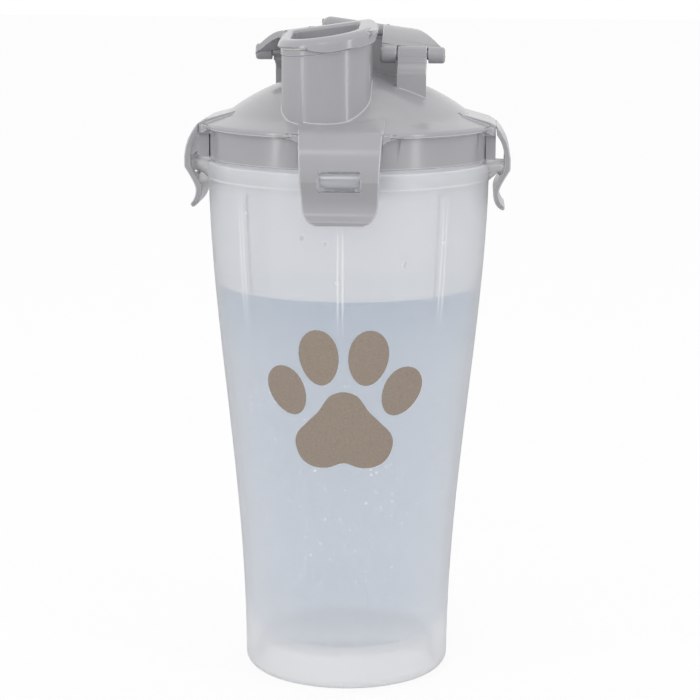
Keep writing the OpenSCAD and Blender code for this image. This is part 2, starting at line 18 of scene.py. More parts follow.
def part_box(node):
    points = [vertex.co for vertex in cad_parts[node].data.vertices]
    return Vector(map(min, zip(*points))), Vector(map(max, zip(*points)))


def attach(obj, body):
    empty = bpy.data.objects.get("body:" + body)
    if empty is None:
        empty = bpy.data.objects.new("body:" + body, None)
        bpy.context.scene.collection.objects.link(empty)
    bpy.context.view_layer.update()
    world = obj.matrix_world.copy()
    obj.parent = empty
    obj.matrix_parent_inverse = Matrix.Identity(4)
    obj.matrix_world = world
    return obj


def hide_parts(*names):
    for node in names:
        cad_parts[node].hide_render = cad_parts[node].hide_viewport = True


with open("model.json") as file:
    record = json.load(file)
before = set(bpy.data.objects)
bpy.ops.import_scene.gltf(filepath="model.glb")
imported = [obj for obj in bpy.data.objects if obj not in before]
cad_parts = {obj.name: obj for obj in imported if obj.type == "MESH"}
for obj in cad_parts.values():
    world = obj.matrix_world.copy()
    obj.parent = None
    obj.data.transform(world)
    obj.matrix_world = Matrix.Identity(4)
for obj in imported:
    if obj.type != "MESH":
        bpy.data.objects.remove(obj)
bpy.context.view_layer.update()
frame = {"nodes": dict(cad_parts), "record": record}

nodes = frame["nodes"]
body_of = {node: body for body, group in frame["record"]["behaviour"]["bodies"].items() for node in group}
slot_of = {part["node"]: part["material_slot"] for part in frame["record"]["subparts"]}
mm = 0.001
print("CAD pieces:", ", ".join(sorted(nodes)))

# %% [markdown]
# Three small helpers do the bookkeeping of materials. Colours are written as the sRGB hex values
# that a designer would pick from a swatch, and the first helper turns them into the linear light
# that the shaders work in. The second adds a node with its settings and its links, and the third
# starts an empty material.

# %% Material helpers
def linear(hex_code, alpha=1.0):
    """An sRGB hex colour such as 'AFAFB1' as linear RGBA."""
    parts = [int(hex_code[i:i + 2], 16) / 255 for i in (0, 2, 4)]
    return [c / 12.92 if c <= 0.04045 else ((c + 0.055) / 1.055) ** 2.4 for c in parts] + [alpha]


def add(tree, kind, inputs=None, **settings):
    """Adds a node. Inputs go by name or number, and a value that is a socket is linked."""
    made = tree.nodes.new(kind)
    for name, value in settings.items():
        setattr(made, name, value)
    for key, value in (inputs or {}).items():
        if isinstance(value, bpy.types.NodeSocket):
            tree.links.new(value, made.inputs[key])
        else:
            made.inputs[key].default_value = value
    return made


def new_material(name):
    """An empty node material, its tree and its output node."""
    material = bpy.data.materials.new(name)
    material.use_nodes = True
    material.node_tree.nodes.clear()
    return material, material.node_tree, add(material.node_tree, "ShaderNodeOutputMaterial")


# %% [markdown]
# ## The camera
# The photograph looks down on the cup by about eleven degrees, from some 0.8 m away, through a long
# lens. Its place was fitted to the front edge of the lid's ring, the water line, the foot and the
# sides of the cup. It stands three degrees round to the right, because the photograph doesn't
# show the front clip quite head on.

# %% Camera at the photograph's viewing angle
camera_place = Vector((43.8, -769.8, 267.3)) * mm
camera_turn = math.radians(3.2)
camera_down = math.radians(11.02)
camera_roll = math.radians(0.3)
picture_side = 700
camera_data = bpy.data.cameras.new("camera")
camera_data.sensor_width = 36
camera_data.lens = 110.99
camera = bpy.data.objects.new("camera", camera_data)
camera.matrix_world = (Matrix.Translation(camera_place) @ Matrix.Rotation(camera_turn, 4, "Z")
                       @ Matrix.Rotation(math.pi / 2 - camera_down, 4, "X")
                       @ Matrix.Rotation(camera_roll, 4, "Z"))
bpy.context.scene.collection.objects.link(camera)
bpy.context.scene.camera = camera
print(f"camera at {camera_place.length:.2f} m")


def sight_line(across, down):
    """The unit direction in which the camera sees a point of the photograph, given in its pixels."""
    scale = camera_data.sensor_width / picture_side
    flat = Vector(((across - picture_side / 2) * scale, (picture_side / 2 - down) * scale, -camera_data.lens))
    return (camera.matrix_world.to_3x3() @ flat).normalized()


# %% [markdown]
# ## Mould edges
# A CAD solid has knife edges, and a moulded part never does: each edge has a radius of a few
# tenths of a millimetre, and it is that radius that catches the light as a thin bright line. So
# each grey node is copied, its loose triangles are welded, and the Bevel modifier rounds what is
# sharper than a set angle. It also gives the new faces a second material, a paler grey that is a
# painted highlight, because the radius alone shows less than in the photograph. The copy stands
# for the node, which keeps its collision.

# %% Copies of CAD pieces
smooth_limit = math.radians(32)
flat_limit = math.radians(0.1)
weld_distance = 0.004 * mm


def welded(name):
    """A CAD node's mesh with its doubled vertices merged, as a bmesh."""
    bm = bmesh.new()
    bm.from_mesh(nodes[name].data)
    bmesh.ops.remove_doubles(bm, verts=bm.verts, dist=weld_distance)
    return bm


def as_piece(bm, name):
    """A smooth-shaded object made from a bmesh."""
    mesh = bpy.data.meshes.new(name)
    bm.to_mesh(mesh)
    bm.free()
    mesh.shade_smooth()
    mesh.set_sharp_from_angle(angle=smooth_limit)
    piece = bpy.data.objects.new(name, mesh)
    bpy.context.scene.collection.objects.link(piece)
    return piece


def apply_modifiers(piece):
    """Turns what the modifiers make into the piece's own mesh."""
    bpy.context.view_layer.update()
    graph = bpy.context.evaluated_depsgraph_get()
    made = bpy.data.meshes.new_from_object(piece.evaluated_get(graph))
    piece.modifiers.clear()
    piece.data = made


def stands_for(piece, node_name):
    """The piece replaces a CAD node, and takes its body."""
    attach(piece, body_of[node_name])
    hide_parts(node_name)
    return piece


def clean_ridges(bm):
    """The sharp edges that run on smoothly: none that ends at a corner of three or more."""
    sharp = {edge for edge in bm.edges if len(edge.link_faces) == 2
             and edge.calc_face_angle() > smooth_limit}
    at = {vert: sum(edge in sharp for edge in vert.link_edges) for vert in bm.verts}
    return [edge for edge in sharp if all(at[vert] == 2 for vert in edge.verts)]


def moulded_copy(name, material, painted_highlight_material, radius):
    """Replaces a CAD node with a copy whose sharp edges have a mould's radius."""
    bm = welded(name)
    bmesh.ops.dissolve_limit(bm, angle_limit=flat_limit, verts=bm.verts, edges=bm.edges)
    weight = bm.edges.layers.float.new("bevel_weight_edge")
    for edge in clean_ridges(bm):
        edge[weight] = 1.0
    piece = as_piece(bm, name + "_moulded")
    piece.data.materials.append(material)
    piece.data.materials.append(painted_highlight_material)
    bevel = piece.modifiers.new("mould radius", "BEVEL")
    bevel.width = radius
    bevel.segments = 2
    bevel.limit_method = "WEIGHT"
    bevel.use_clamp_overlap = False
    # The bevel's new faces take the second material, a paler grey that is a painted highlight.
    bevel.material = 1
    even = piece.modifiers.new("face weight", "WEIGHTED_NORMAL")
    even.keep_sharp = True
    apply_modifiers(piece)
    return stands_for(piece, name)


# %% [markdown]
# ## Grey moulded plastic
# The lid, the clips and the flip caps are moulded polypropylene in one mid grey. The mould was
# polished, so the surface has a satin gloss with a very slight orange peel: a shallow bump a few
# millimetres long. Flow in the mould leaves the colour a touch uneven, which a wide noise gives.

# %% Grey polypropylene
flow_length = 16.67 * mm
peel_length = 2.38 * mm


def grey_polypropylene(name, dark, light, gloss_low, gloss_high):
    material, tree, out = new_material(name)
    coords = add(tree, "ShaderNodeTexCoord").outputs["Object"]
    flow = add(tree, "ShaderNodeTexNoise", {"Vector": coords, "Scale": 1 / flow_length, "Detail": 3})
    tint = add(tree, "ShaderNodeMix", {0: flow.outputs["Fac"], 6: linear(dark), 7: linear(light)},
               data_type="RGBA")
    gloss = add(tree, "ShaderNodeMapRange", {0: flow.outputs["Fac"], 3: gloss_low, 4: gloss_high})
    peel = add(tree, "ShaderNodeTexNoise", {"Vector": coords, "Scale": 1 / peel_length, "Detail": 2})
    bump = add(tree, "ShaderNodeBump", {"Height": peel.outputs["Fac"], "Strength": 0.06,
                                        "Distance": 0.4 * mm})
    skin = add(tree, "ShaderNodeBsdfPrincipled", {
        "Base Color": tint.outputs[2], "Roughness": gloss.outputs[0], "IOR": 1.49, "Coat Weight": 0.25,
        "Coat Roughness": 0.12, "Normal": bump.outputs["Normal"]})
    tree.links.new(skin.outputs[0], out.inputs["Surface"])
    return material


grey = grey_polypropylene("grey_polypropylene", "A3A2A5", "ADACAF", 0.20, 0.28)
# A painted highlight: the rounded edges are a paler, glossier grey, for the light they catch.
grey_edge_highlight = grey_polypropylene("grey_painted_edge_highlight", "BDBCBF", "C8C7CA", 0.12, 0.18)
clip_radius = 0.42 * mm
lid_radius = 0.3 * mm
grey_pieces = [name for name in sorted(nodes) if slot_of[name] == "lid_plastic"]
for name in grey_pieces:
    made = moulded_copy(name, grey, grey_edge_highlight, clip_radius if name.startswith("clip") else lid_radius)
    print(f"{made.name}: {len(made.data.polygons)} faces")

# %% [markdown]
# ## Frosted plastic
# The cup is natural polypropylene, smooth inside and blasted to a fine frost outside. The frost
# does two things at once. It sends part of the light back as a milky veil, and it spreads what
# goes through by a few degrees, so what touches the wall stays crisp and what lies deeper blurs.
# A rough refraction with an index close to 1 gives that spread without bending the whole view
# as a lens would.
#
# The photograph also shows thin pale lines and specks through the frost: light caught by the
# edges of the ribs, by two rings at the neck and by bubbles on the wall. The rough refraction blurs
# such small things away, even where they are real, so they are drawn in the skin as painted
# highlights, white marks on its Object coordinates.

# %% Painted highlights that show through the frost
rib_middle, rib_reach = 155.5 * mm, 25.5 * mm
rib_steps = 8  # six ribs, and two rails that hold the divider
rib_edge, rib_line = 0.85 * mm, 0.38 * mm
neck_rings = {186.5 * mm: 0.4 * mm, 181.2 * mm: 0.3 * mm}  # heights and half widths
speck_middle, speck_reach = 80 * mm, 60 * mm
speck_spacing = 1.786 * mm
fewer_specks = 0.55
smallest_speck, largest_speck = 0.04, 0.30  # as shares of the spacing


def line_at(tree, value, place, half):
    """1 on a line where a value equals a place, fading to 0 at its half width."""
    off = add(tree, "ShaderNodeMath", {0: value, 1: place}, operation="SUBTRACT")
    off = add(tree, "ShaderNodeMath", {0: off.outputs[0]}, operation="ABSOLUTE")
    return add(tree, "ShaderNodeMapRange",
               {0: off.outputs[0], 1: half * 0.5, 2: half, 3: 1.0, 4: 0.0}).outputs[0]


def rib_edge_highlights(tree, spot):
    """Painted highlights on both edges of a rib at each eighth of a turn, fading towards the ends of the
    ribs.
    """
    flat = add(tree, "ShaderNodeCombineXYZ", {"X": spot.outputs["X"], "Y": spot.outputs["Y"]})
    from_axis = add(tree, "ShaderNodeVectorMath", {0: flat.outputs[0]}, operation="LENGTH")
    around = add(tree, "ShaderNodeMath", {0: spot.outputs["Y"], 1: spot.outputs["X"]}, operation="ARCTAN2")
    from_rib = add(tree, "ShaderNodeMath", {0: around.outputs[0], 1: math.pi / rib_steps},
                   operation="PINGPONG")
    aside = add(tree, "ShaderNodeMath", {0: from_rib.outputs[0], 1: from_axis.outputs["Value"]},
                operation="MULTIPLY")
    pair = line_at(tree, aside.outputs[0], rib_edge, rib_line)
    height = line_at(tree, spot.outputs["Z"], rib_middle, rib_reach)
    return add(tree, "ShaderNodeMath", {0: pair, 1: height}, operation="MULTIPLY").outputs[0]


def bubble_glints(tree, coords, spot):
    """Painted glints of the bubbles: dots where the wall comes close to a Voronoi cell's point, over the
    middle of the wetted wall.
    """
    cells = add(tree, "ShaderNodeTexVoronoi", {"Vector": coords, "Scale": 1 / speck_spacing,
                                               "Randomness": 1.0})
    chance = add(tree, "ShaderNodeSeparateColor", {0: cells.outputs["Color"]})
    size = add(tree, "ShaderNodeMapRange",
               {0: chance.outputs[0], 1: fewer_specks, 2: 1.0, 3: smallest_speck, 4: largest_speck})
    dot = add(tree, "ShaderNodeMath", {0: cells.outputs["Distance"], 1: size.outputs[0]},
              operation="LESS_THAN")
    zone = line_at(tree, spot.outputs["Z"], speck_middle, speck_reach)
    return add(tree, "ShaderNodeMath", {0: dot.outputs[0], 1: zone}, operation="MULTIPLY").outputs[0]


def painted_highlights(tree, coords, spot, line_highlight_share=0.50, glint_share=0.62):
    """How much painted highlight the marks put on the skin: 0 between them, and their share on them."""
    lines = rib_edge_highlights(tree, spot)
    for height, half in neck_rings.items():
        ring = line_at(tree, spot.outputs["Z"], height, half)
        lines = add(tree, "ShaderNodeMath", {0: lines, 1: ring}, operation="MAXIMUM").outputs[0]
    lines = add(tree, "ShaderNodeMath", {0: lines, 1: line_highlight_share}, operation="MULTIPLY")
    dots = add(tree, "ShaderNodeMath", {0: bubble_glints(tree, coords, spot), 1: glint_share}, operation="MULTIPLY")
    return add(tree, "ShaderNodeMath", {0: lines.outputs[0], 1: dots.outputs[0]},
               operation="MAXIMUM").outputs[0]


# %% Frosted outside
frost_grain = 0.385 * mm  # a blasted grain is finer than a pixel, so it is drawn coarser than it is
foot_low, foot_high = 12 * mm, 36 * mm
foot_milk, wall_milk = 0.62, 0.44


def frosted_polypropylene():
    """A veil of milk over a blurred view, milkier at the foot, with the painted highlights on top."""
    material, tree, out = new_material("frosted_polypropylene")
    coords = add(tree, "ShaderNodeTexCoord").outputs["Object"]
    spot = add(tree, "ShaderNodeSeparateXYZ", {0: coords})
    blast = add(tree, "ShaderNodeTexNoise", {"Vector": coords, "Scale": 1 / frost_grain, "Detail": 2})
    bump = add(tree, "ShaderNodeBump", {"Height": blast.outputs["Fac"], "Strength": 0.10,
                                        "Distance": 0.2 * mm})
    skin = add(tree, "ShaderNodeBsdfPrincipled", {
        "Base Color": linear("F8F8F9"), "Roughness": 0.42, "IOR": 1.49, "Normal": bump.outputs["Normal"]})
    glow = add(tree, "ShaderNodeBsdfTranslucent", {"Color": linear("F8F8F9")})
    milky = add(tree, "ShaderNodeMixShader", {0: 0.5, 1: skin.outputs[0], 2: glow.outputs[0]})
    through = add(tree, "ShaderNodeBsdfRefraction", {"Color": linear("FDFDFD"), "Roughness": 0.75,
                                                     "IOR": 1.06})
    milk = add(tree, "ShaderNodeMapRange",
               {0: spot.outputs["Z"], 1: foot_high, 2: foot_low, 3: wall_milk, 4: foot_milk},
               interpolation_type="SMOOTHSTEP")
    wall = add(tree, "ShaderNodeMixShader", {0: milk.outputs[0], 1: through.outputs[0], 2: milky.outputs[0]})
    # The painted highlights: plain white where the rib edges, the neck rings and the bubble glints are drawn.
    white = add(tree, "ShaderNodeBsdfDiffuse", {"Color": linear("FFFFFF")})
    marked = add(tree, "ShaderNodeMixShader",
                 {0: painted_highlights(tree, coords, spot), 1: wall.outputs[0], 2: white.outputs[0]})
    tree.links.new(marked.outputs[0], out.inputs["Surface"])
    return material


# %% [markdown]
# The inner faces are plain and clear, with a gloss that grows towards grazing views, as Fresnel's
# law has it. They and the water could bend the light too, with a refraction shader. The frost
# hides most of that, so they are see-through shaders, which make less noise.

# %% Polished inside
def edge_gloss(tree, straight_on):
    """Schlick's form of Fresnel's law. It is the same from both sides of a thin wall."""
    slant = add(tree, "ShaderNodeLayerWeight", {"Blend": 0.5}).outputs["Facing"]
    steep = add(tree, "ShaderNodeMath", {0: slant, 1: 5.0}, operation="POWER")
    return add(tree, "ShaderNodeMapRange", {0: steep.outputs[0], 3: straight_on, 4: 1.0}).outputs[0]


def polished_polypropylene():
    material, tree, out = new_material("polished_polypropylene")
    share = edge_gloss(tree, 0.03)
    clear = add(tree, "ShaderNodeBsdfTransparent", {"Color": linear("FFFFFF")})
    gloss = add(tree, "ShaderNodeBsdfGlossy", {"Color": linear("FFFFFF"), "Roughness": 0.12})
    wall = add(tree, "ShaderNodeMixShader", {0: share, 1: clear.outputs[0], 2: gloss.outputs[0]})
    tree.links.new(wall.outputs[0], out.inputs["Surface"])
    return material


def polished_rib_edge():
    """The radius along a rib: the same clear plastic, with an even, softer gloss."""
    material, tree, out = new_material("polished_rib_edge")
    clear = add(tree, "ShaderNodeBsdfTransparent", {"Color": linear("FFFFFF")})
    gloss = add(tree, "ShaderNodeBsdfGlossy", {"Color": linear("FFFFFF"), "Roughness": 0.35})
    edge = add(tree, "ShaderNodeMixShader", {0: 0.20, 1: clear.outputs[0], 2: gloss.outputs[0]})
    tree.links.new(edge.outputs[0], out.inputs["Surface"])
    return material


# %% The divider's plain sheet
cloud_length = 33.3 * mm


def thin_polypropylene():
    """A plain moulded sheet, only lightly and a little unevenly milky."""
    material, tree, out = new_material("thin_polypropylene")
    coords = add(tree, "ShaderNodeTexCoord").outputs["Object"]
    cloud = add(tree, "ShaderNodeTexNoise", {"Vector": coords, "Scale": 1 / cloud_length, "Detail": 3})
    share = add(tree, "ShaderNodeMapRange", {0: cloud.outputs["Fac"], 3: 0.14, 4: 0.20})
    clear = add(tree, "ShaderNodeBsdfTransparent", {"Color": linear("FCFDFF")})
    milk = add(tree, "ShaderNodeBsdfTranslucent", {"Color": linear("F0F2F6")})
    sheet = add(tree, "ShaderNodeMixShader", {0: share.outputs[0], 1: clear.outputs[0], 2: milk.outputs[0]})
    tree.links.new(sheet.outputs[0], out.inputs["Surface"])
    return material


frosted, polished, soft_edge = frosted_polypropylene(), polished_polypropylene(), polished_rib_edge()
thin = thin_polypropylene()
print("cup materials:", frosted.name, polished.name, soft_edge.name, thin.name)

# %% [markdown]
# The cup's copy has both finishes. A ray cast from the axis finds the inner wall at any height, so
# a face is an inner one where its middle lies nearer the axis than the middle of the wall. The
# ribs that stiffen the wall get a radius along their edges, as a mould gives them.

# %% The cup
between_ribs = math.radians(-67.5)
half_wall = 1 * mm


def tree_of(node_name):
    """A ray-casting tree of a CAD node's triangles."""
    mesh = nodes[node_name].data
    return BVHTree.FromPolygons([v.co for v in mesh.vertices], [p.vertices for p in mesh.polygons])


cup_tree = tree_of("cup_body")


def wall_radius(z):
    """Distance from the axis to the cup's inner wall at a height, between two ribs."""
    way = Vector((math.cos(between_ribs), math.sin(between_ribs), 0))
    hit = cup_tree.ray_cast(Vector((0, 0, z)), way)[0]
    return hit.to_2d().length


in_front_chamber = Vector((0, -20, 100)) * mm
cup_floor = cup_tree.ray_cast(in_front_chamber, Vector((0, 0, -1)))[0].z
cup_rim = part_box("cup_body")[1].z
wall_here = wall_radius(100 * mm)
print(f"inner wall at 100 mm: {wall_here / mm:.1f} mm from the axis, floor at {cup_floor / mm:.1f} mm")


def is_inner(point):
    """Whether a point of the cup's surface belongs to its inside: not the foot, and not the rim."""
    if point.z <= cup_floor - half_wall or point.z > cup_rim - half_wall / 2:
        return False
    return point.to_2d().length < wall_radius(max(point.z, cup_floor + half_wall)) + half_wall


def frosted_cup(rib_radius=0.4 * mm, above_floor=10 * mm, below_rim=16 * mm):
    """The cup, frosted outside and polished inside, with a radius on the ribs between two heights."""
    bm = welded("cup_body")
    inner = {face for face in bm.faces if is_inner(face.calc_center_median())}
    for face in inner:
        face.material_index = 1
    ridges = [edge for edge in bm.edges if len(edge.link_faces) == 2 and edge.is_convex
              and edge.calc_face_angle() > smooth_limit and all(face in inner for face in edge.link_faces)
              and cup_floor + above_floor < edge.verts[0].co.z < cup_rim - below_rim]
    rounded = bmesh.ops.bevel(bm, geom=ridges, offset=rib_radius, segments=3, profile=0.5, affect="EDGES",
                              clamp_overlap=True)
    for face in rounded["faces"]:
        face.material_index = 2
    piece = as_piece(bm, "cup_body_frosted")
    for finish in (frosted, polished, soft_edge):
        piece.data.materials.append(finish)
    print(f"{len(inner)} inner faces, {len(ridges)} rib edges rounded")
    stands_for(piece, "cup_body")


frosted_cup()

# %% [markdown]
# ## Ink, silicone and water
# The paw print is screen ink: matt, warm taupe, with the fine grain of its pigment. The seals
# are milky silicone. Water takes a little light out of all that passes through it, most at the
# red end, so its colour is a matter of depth: cool in the middle of the cup, none at its edges.
# That is what volume absorption does, and near the surface a faint tint of the skin helps it.
# Seen as flat as here, the surface mirrors about a third of the light. Its share is raised until
# the surface is as bright as the photograph has it.

# %% Screen ink and silicone
ink_grain = 0.667 * mm  # pigment is finer than a pixel, so it is drawn coarser than it is
silicone_cloud = 8.33 * mm


def screen_ink():
    material, tree, out = new_material("taupe_screen_ink")
    coords = add(tree, "ShaderNodeTexCoord").outputs["Object"]
    grain = add(tree, "ShaderNodeTexNoise", {"Vector": coords, "Scale": 1 / ink_grain, "Detail": 4,
                                             "Roughness": 0.7})
    tint = add(tree, "ShaderNodeMix", {0: grain.outputs["Fac"], 6: linear("807367"), 7: linear("AB9D8F")},
               data_type="RGBA")
    ink = add(tree, "ShaderNodeBsdfPrincipled", {"Base Color": tint.outputs[2], "Roughness": 0.62})
    tree.links.new(ink.outputs[0], out.inputs["Surface"])
    return material


def milky_silicone():
    material, tree, out = new_material("milky_silicone")
    coords = add(tree, "ShaderNodeTexCoord").outputs["Object"]
    cloud = add(tree, "ShaderNodeTexNoise", {"Vector": coords, "Scale": 1 / silicone_cloud, "Detail": 2})
    tint = add(tree, "ShaderNodeMix", {0: cloud.outputs["Fac"], 6: linear("DADAD6"), 7: linear("E6E6E2")},
               data_type="RGBA")
    skin = add(tree, "ShaderNodeBsdfPrincipled", {
        "Base Color": tint.outputs[2], "Roughness": 0.7, "Subsurface Weight": 0.2,
        "Subsurface Radius": (3 * mm, 3 * mm, 3 * mm)})
    tree.links.new(skin.outputs[0], out.inputs["Surface"])
    return material


# %% Water
water_top = 142.6 * mm
tint_from = 115 * mm
mirror_gain = 2.2
level_enough = 0.9  # the upward part of a face's normal, above which it counts as the surface


def still_water():
    """Clear from the side, part mirror on top, and coloured by its depth."""
    material, tree, out = new_material("still_water")
    normal = add(tree, "ShaderNodeNewGeometry").outputs["True Normal"]
    facing = add(tree, "ShaderNodeSeparateXYZ", {0: normal})
    is_top = add(tree, "ShaderNodeMath", {0: facing.outputs["Z"], 1: level_enough},
                 operation="GREATER_THAN")
    mirror = add(tree, "ShaderNodeMath", {0: edge_gloss(tree, 0.02), 1: mirror_gain},
                 operation="MULTIPLY", use_clamp=True)
    share = add(tree, "ShaderNodeMath", {0: mirror.outputs[0], 1: is_top.outputs[0]}, operation="MULTIPLY")
    spot = add(tree, "ShaderNodeSeparateXYZ", {0: add(tree, "ShaderNodeTexCoord").outputs["Object"]})
    near_top = add(tree, "ShaderNodeMapRange", {0: spot.outputs["Z"], 1: tint_from, 2: water_top})
    tint = add(tree, "ShaderNodeMix", {0: near_top.outputs[0], 6: linear("FFFFFF"), 7: linear("F7F9FB")},
               data_type="RGBA")
    clear = add(tree, "ShaderNodeBsdfTransparent", {"Color": tint.outputs[2]})
    gloss = add(tree, "ShaderNodeBsdfGlossy", {"Color": linear("FFFFFF"), "Roughness": 0.15})
    surface = add(tree, "ShaderNodeMixShader", {0: share.outputs[0], 1: clear.outputs[0],
                                                2: gloss.outputs[0]})
    depth = add(tree, "ShaderNodeVolumeAbsorption", {"Color": linear("1A86B3"), "Density": 5.6})
    tree.links.new(surface.outputs[0], out.inputs["Surface"])
    tree.links.new(depth.outputs[0], out.inputs["Volume"])
    return material


ink, silicone, water = screen_ink(), milky_silicone(), still_water()
for name, material in {"paw_print": ink, "lid_gasket": silicone, "flap_seal_front": silicone,
                       "flap_seal_back": silicone, "divider_panel": thin}.items():
    nodes[name].data.materials.clear()
    nodes[name].data.materials.append(material)
    print(f"{name}: {material.name}")

# %% [markdown]
# ## The water
# Each chamber holds a half-round body of water up to one level. It is a lofted solid: the inner
# wall's radius is measured every few millimetres, and each ring is that arc closed by the
# straight line of the divider.

# %% Water bodies
water_gap = 0.25 * mm
divider_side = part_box("divider_panel")[1].y + water_gap


def water_ring(z, arc_steps=64):
    """Points of one level ring of the front chamber, from one side of the divider to the other."""
    r = wall_radius(z) - water_gap
    reach = math.sqrt(r * r - divider_side * divider_side)
    start = math.atan2(-divider_side, reach)
    end = -math.pi - start
    angles = [start + (end - start) * i / arc_steps for i in range(arc_steps + 1)]
    return [Vector((r * math.cos(a), r * math.sin(a), z)) for a in angles]


def make_water(name, turn, steps=48):
    """One chamber's water, lofted through rings that lie closer together near the floor."""
    low = cup_floor + water_gap
    levels = [low + (water_top - low) * (i / steps) ** 1.5 for i in range(steps + 1)]
    bm = bmesh.new()
    rings = [[bm.verts.new(p) for p in water_ring(z)] for z in levels]
    for below, above in zip(rings, rings[1:]):
        for i in range(len(below)):
            j = (i + 1) % len(below)
            bm.faces.new((below[i], below[j], above[j], above[i]))
    bm.faces.new(rings[0])
    bm.faces.new(rings[-1])
    bmesh.ops.rotate(bm, verts=bm.verts, cent=(0, 0, 0), matrix=Matrix.Rotation(turn, 3, "Z"))
    bmesh.ops.recalc_face_normals(bm, faces=bm.faces)
    piece = as_piece(bm, name)
    piece.data.materials.append(water)
    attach(piece, "bottle")


make_water("water_front", 0)
make_water("water_back", math.pi)
print(f"water from {cup_floor / mm:.1f} mm up to {water_top / mm:.1f} mm")

# %% [markdown]
# ## Living hinges
# Each clip hangs on a film hinge: where it meets the flange, the plastic is thinned until it
# folds. In the closed state it shows as a thin rounded bead across the clip. The bead is a
# cylinder with rounded ends just under the hinge's axis, made in front and turned to its place.

# %% Film hinges
bead = 0.4 * mm
below_axis = 0.45 * mm
front_hinge = next(joint for joint in frame["record"]["behaviour"]["joints"]
                   if joint["child"] == "clip_front")
hinge_axis = Vector(front_hinge["pos_m"])
clip_low, clip_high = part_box("clip_front")
bead_length = clip_high.x - clip_low.x - 2 * bead


def film_hinge(clip, turn):
    """A rounded bead along a clip's hinge line, which turns with the clip."""
    bm = bmesh.new()
    bmesh.ops.create_cone(bm, cap_ends=True, segments=16, radius1=bead, radius2=bead, depth=bead_length)
    rims = [edge for edge in bm.edges if any(len(face.verts) > 4 for face in edge.link_faces)]
    bmesh.ops.bevel(bm, geom=rims, offset=bead * 0.45, segments=2, profile=0.5, affect="EDGES")
    bmesh.ops.rotate(bm, verts=bm.verts, cent=(0, 0, 0), matrix=Matrix.Rotation(math.pi / 2, 3, "Y"))
    bmesh.ops.translate(bm, verts=bm.verts, vec=hinge_axis - Vector((0, 0, below_axis)))
    bmesh.ops.rotate(bm, verts=bm.verts, cent=(0, 0, 0), matrix=Matrix.Rotation(turn, 3, "Z"))
    piece = as_piece(bm, clip + "_film")
    piece.data.materials.append(grey)
    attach(piece, body_of[clip])


for i, clip in enumerate(("clip_front", "clip_right", "clip_back", "clip_left")):
    film_hinge(clip, i * math.pi / 2)
print(f"four film hinges, {bead_length / mm:.1f} mm long")

# %% [markdown]
# ## Air bubbles and drops
# Fresh tap water lets go of its air as tiny bubbles, which sit on the wall. They are scattered by
# Geometry Nodes over the part of the wall that the water wets: points at random, a small ball on
# each, sizes drawn from a range. The seed is fixed, so they are the same in every render. Behind
# the frost they hardly show, and painted glints in the skin stand for them there.

# %% Bubbles on the wetted wall
lowest_bubble, highest_bubble = cup_floor + 4 * mm, water_top - 2 * mm
bubble_depth = 0.75 * mm
first_degree, degrees_round = -168, 156


def wetted_wall(columns=48, rows=40):
    """A sheet that follows the front of the water, just inside its skin."""
    bm = bmesh.new()
    grid = []
    for k in range(rows + 1):
        z = lowest_bubble + (highest_bubble - lowest_bubble) * k / rows
        r = wall_radius(z) - bubble_depth
        angles = [math.radians(first_degree + degrees_round * i / columns) for i in range(columns + 1)]
        grid.append([bm.verts.new((r * math.cos(a), r * math.sin(a), z)) for a in angles])
    for below, above in zip(grid, grid[1:]):
        for i in range(columns):
            bm.faces.new((below[i], below[i + 1], above[i + 1], above[i]))
    mesh = bpy.data.meshes.new("wetted_wall")
    bm.to_mesh(mesh)
    bm.free()
    return mesh


def trapped_air():
    """Seen through water, a bubble mirrors what is round it, here a white room."""
    material, tree, out = new_material("trapped_air")
    shine = add(tree, "ShaderNodeBsdfGlossy", {"Color": linear("FFFFFF"), "Roughness": 0.5})
    white = add(tree, "ShaderNodeBsdfTranslucent", {"Color": linear("FFFFFF")})
    skin = add(tree, "ShaderNodeMixShader", {0: 0.25, 1: shine.outputs[0], 2: white.outputs[0]})
    tree.links.new(skin.outputs[0], out.inputs["Surface"])
    return material


air = trapped_air()
tree = bpy.data.node_groups.new("bubbles", "GeometryNodeTree")
sizes = {"Per Square Metre": 14500.0, "Smallest": 0.12 * mm, "Largest": 0.42 * mm}
tree.interface.new_socket("Wall", in_out="INPUT", socket_type="NodeSocketGeometry")
sockets = {name: tree.interface.new_socket(name, in_out="INPUT", socket_type="NodeSocketFloat")
           for name in sizes}
tree.interface.new_socket("Bubbles", in_out="OUTPUT", socket_type="NodeSocketGeometry")
given = add(tree, "NodeGroupInput")
points = add(tree, "GeometryNodeDistributePointsOnFaces",
             {"Mesh": given.outputs["Wall"], "Density": given.outputs["Per Square Metre"], "Seed": 11})
chance = add(tree, "FunctionNodeRandomValue", {2: 0.0, 3: 1.0, "Seed": 5})
rare = add(tree, "ShaderNodeMath", {0: chance.outputs[1], 1: 3.0}, operation="POWER")
radius = add(tree, "ShaderNodeMapRange", {0: rare.outputs[0], 3: given.outputs["Smallest"],
                                          4: given.outputs["Largest"]})
ball = add(tree, "GeometryNodeMeshIcoSphere", {"Radius": 1.0, "Subdivisions": 2})
placed = add(tree, "GeometryNodeInstanceOnPoints", {
    "Points": points.outputs["Points"], "Instance": ball.outputs["Mesh"], "Scale": radius.outputs[0]})
real = add(tree, "GeometryNodeRealizeInstances", {"Geometry": placed.outputs[0]})
finished = add(tree, "GeometryNodeSetMaterial", {"Geometry": real.outputs[0], "Material": air})
add(tree, "NodeGroupOutput", {0: finished.outputs[0]})

ball_faces = 80  # of an ico sphere with two subdivisions
bubbles = bpy.data.objects.new("air_bubbles", wetted_wall())
scatter = bubbles.modifiers.new("bubbles", "NODES")
scatter.node_group = tree
for name, size in sizes.items():
    scatter[sockets[name].identifier] = size
bpy.context.scene.collection.objects.link(bubbles)
apply_modifiers(bubbles)
bubbles.data.shade_smooth()
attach(bubbles, "bottle")
print(f"bubbles: {len(bubbles.data.polygons) // ball_faces}")
